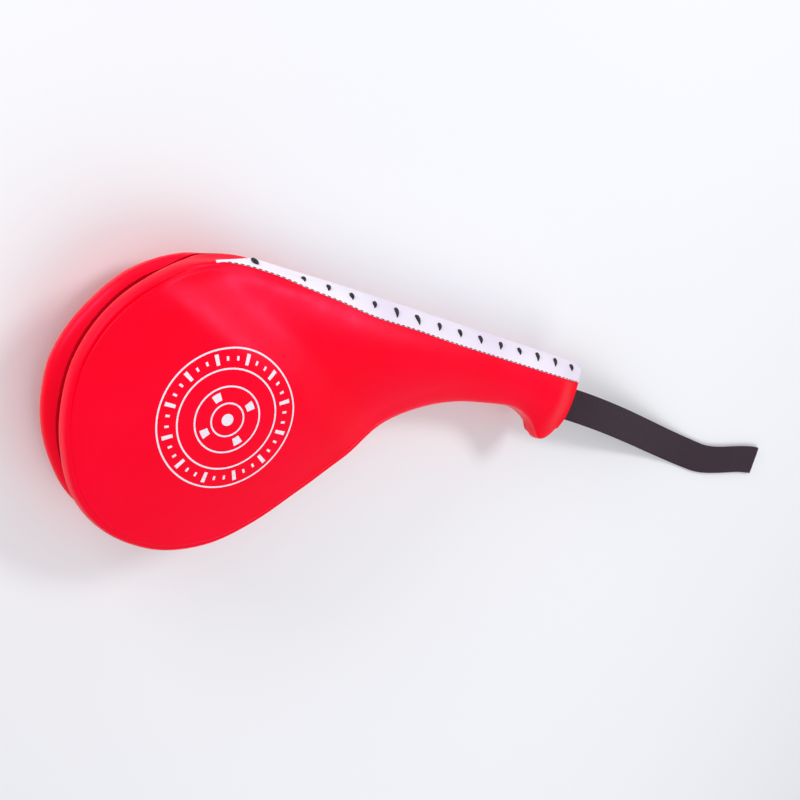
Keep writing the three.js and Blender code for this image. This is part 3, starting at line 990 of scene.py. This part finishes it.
def makeStitch(node, x, length, bend, knot=False):
    centre = laceLine(x)
    slant = math.radians(lace["slant"] + bend)
    along = np.array([math.cos(slant), -math.sin(slant), 0.6])
    path, radii = [], []
    for k in range(11):
        t = k / 10
        curl = np.array([0.9, 0, 0]) * math.sin(math.pi * t)
        at, normal = onBand(centre + along * (t - 0.45) * length * 0.85 + curl)
        sink = 0.9 * (1 - min(t / 0.12, 1)) + 0.9 * max(0, (t - 0.86) / 0.14)
        r = mix(lace["thick"], lace["tail"], ease(t, 0.3, 0.95))
        path.append(at + normal * (r * 0.5 - sink))
        radii.append(float(r * min(1, 0.55 + t * 4)))
    points, faces = tube(path, radii, 10)
    if knot:
        # the starting knot: a loop of thread round the first stitch
        ring = []
        at, normal = onBand(centre)
        u = np.cross(normal, [1, 0, 0])
        u /= np.linalg.norm(u)
        v = np.cross(normal, u)
        for k in range(17):
            a = 2 * math.pi * k / 16
            out = (u * math.cos(a) + v * math.sin(a)) * lace["knotRing"]
            ring.append(at + normal * 1.1 + out)
        more, moreFaces = tube(ring, [lace["knotThick"]] * len(ring), 8)
        first = len(points)
        points = list(points) + list(more)
        faces += [tuple(first + k for k in f) for f in moreFaces]
    obj = addMesh(f"thread_{node}", points, faces, thread, 80)
    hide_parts(node)
    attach(obj, "handle")


for i, length in enumerate(lace["lengths"]):
    number, spread, far = lace["drift"]
    x = lace["start"] + i * lace["pitch"] + far * bump(i, number, spread)
    makeStitch(f"lace_stitch_{i + 1:02d}", x, length, 16 * math.sin(i * 2.3))
makeStitch("lace_knot", lace["knotX"], lace["knotLength"], -40, True)


topstitch = {
    "pitch": 4.6,
    "length": 2.9,
    "thick": 0.28,
    "beside": 0.5,            # seam to the row of stitches, on the white side
}


def makeTopstitch():
    # machine stitching along the band's front and rear seams
    for name, side in (("front", 1), ("rear", -1)):
        line = half(bandSections[:, 0], side)
        line = line[line[:, 0] < gripEnd - 2]
        line = line[np.argsort(line[:, 0])]
        along = np.concatenate([[0], np.cumsum(np.linalg.norm(np.diff(line, axis=0), axis=1))])
        points, faces = [], []
        start = 8.0
        while start + topstitch["length"] < along[-1]:
            s = np.linspace(start, start + topstitch["length"], 6)
            path = np.column_stack([np.interp(s, along, line[:, k]) for k in range(3)])
            path[:, 1] += topstitch["beside"]
            path[:, 2] += side * (0.25 + 0.22 * np.sin(np.linspace(0, math.pi, 6)))
            more, moreFaces = tube(path, topstitch["thick"] * np.array([0.5, 1, 1, 1, 1, 0.5]), 6)
            first = len(points)
            points += more
            faces += [tuple(first + k for k in f) for f in moreFaces]
            start += topstitch["pitch"]
        obj = addMesh(f"band_topstitch_{name}", points, faces, thread, 80)
        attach(obj, "handle")


makeTopstitch()
print("threads made")


target = {
    "centre": (2.2, -2.6),
    "rings": (48.5, 34.9, 23.0, 11.5),
    "line": 1.15,
    "ticks": 36,              # every third is long
    "longTick": (38.2, 45.6, 1.3),     # from, to, half its width
    "shortTick": (40.3, 43.2, 0.8),
    "dots": 4,
    "dotRing": (14.6, 20.2, 0.16),     # from, to, half its angle
    "middle": 4.2,
    "lift": 0.09,             # thickness of the ink over the skin
}


def onFace(x, y, side):
    at, _, _, _ = padTree.ray_cast(Vector((x * mm, y * mm, 0.2)), Vector((0, 0, -1)))
    z = at.z / mm + target["lift"]
    return (x, y, z if side > 0 else 2 * midZ - z)


def makePrint(name, side):
    points, faces = [], []
    cx, cy = target["centre"]

    def patch(r0, r1, a0, a1, steps, rings=1):
        first = len(points)
        for k in range(steps + 1):
            a = mix(a0, a1, k / steps)
            for m in range(rings + 1):
                r = mix(r0, r1, m / rings)
                points.append(onFace(cx + r * math.cos(a), cy + r * math.sin(a), side))
        for k in range(steps):
            for m in range(rings):
                a = first + k * (rings + 1) + m
                b = a + rings + 1
                faces.append((a, a + 1, b + 1, b))

    turn = 2 * math.pi
    w = target["line"] / 2
    for r in target["rings"]:
        patch(r - w, r + w, 0, turn, 160)
    ticks = target["ticks"]
    for k in range(ticks):
        a = turn * k / ticks
        r0, r1, width = target["longTick" if k % 3 == 0 else "shortTick"]
        width /= 42
        patch(r0, r1, a - width, a + width, 2, 4)
    for k in range(target["dots"]):
        a = turn * (k + 0.5) / target["dots"]
        r0, r1, width = target["dotRing"]
        patch(r0, r1, a - width, a + width, 6, 4)
    patch(0.01, target["middle"], 0, turn, 40, 3)
    obj = addMesh(f"{name}_target_print", points, turned(faces, side), ink)
    return obj


frontPrint = makePrint("front", 1)
rearPrint = makePrint("rear", -1)
for obj in (frontPad, frontLining, frontPrint):
    blendLeaf(obj)
for obj in (rearPad, rearLining, rearPrint):
    blendLeaf(obj)
print("prints made")


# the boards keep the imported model's shape and get a finish
for node in ("front_stiffener_board", "rear_stiffener_board"):
    obj = frame["nodes"][node]
    for s in obj.material_slots:
        s.material = sheetPlastic
